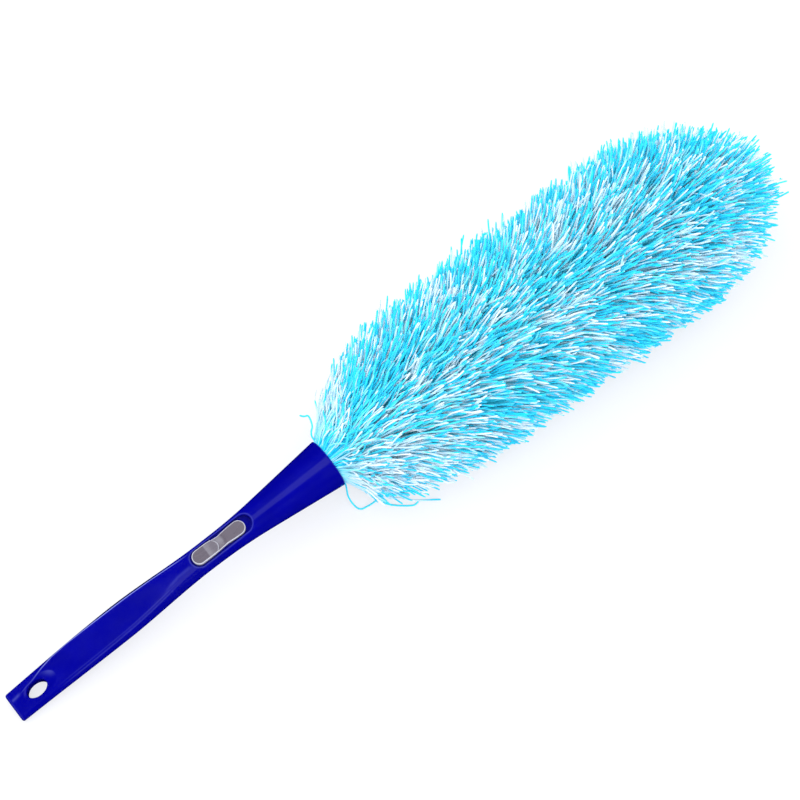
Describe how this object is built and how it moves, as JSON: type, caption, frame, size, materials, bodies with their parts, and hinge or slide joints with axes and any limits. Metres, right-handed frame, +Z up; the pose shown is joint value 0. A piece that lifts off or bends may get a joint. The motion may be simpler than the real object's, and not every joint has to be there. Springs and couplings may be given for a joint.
{
  "type": "yarn hand duster",
  "caption": "Hand duster with a plastic handle, a thumb slide that releases the head, and a long round head of dense cyan and white yarn.",
  "frame": {"origin": "on the surface that the duster lies on, under the middle of its bounding box", "axes": "+X from the handle's free end towards the head's tip, +Z up through the thumb slide's side"},
  "size_m": [0.6497, 0.1284, 0.1128],
  "materials": {
    "handle_plastic": "glossy dark blue moulded plastic",
    "cover_plastic": "satin dark blue moulded plastic",
    "button_plastic": "satin grey moulded plastic with a bright worn rim",
    "inner_plastic": "natural uncoloured moulded plastic",
    "steel": "plain zinc-plated and spring steel",
    "backing": "woven tape",
    "yarn": "soft cyan and white yarn strands, matt"
  },
  "bodies": {
    "handle": {"handle_body": "handle_plastic", "handle_back_cover": "cover_plastic", "cover_screw_1": "steel", "cover_screw_2": "steel", "cover_screw_3": "steel", "latch_leaf": "steel", "return_spring": "steel"},
    "button": {"release_button": "button_plastic", "release_slide": "inner_plastic", "slide_screw": "steel"},
    "head": {"head_plug": "inner_plastic", "core_rod": "steel", "core_sleeve": "inner_plastic", "yarn_backing": "backing", "yarn_clamp": "steel", "tip_cap": "inner_plastic", "yarn_pile": "yarn"}
  },
  "joints": [
    {"name": "button_slide", "type": "slide", "parent": "handle", "child": "button", "axis": [0.9986, 0, 0.0523], "range_m": [0, 0.004], "stiffness_N_per_m": 400, "springref_m": -0.004, "deforming": ["return_spring", "latch_leaf"]},
    {"name": "head_pull", "type": "slide", "parent": "handle", "child": "head", "axis": [0.9986, 0, 0.0523], "range_m": [0, 0.075], "deforming": ["latch_leaf"]}
  ]
}
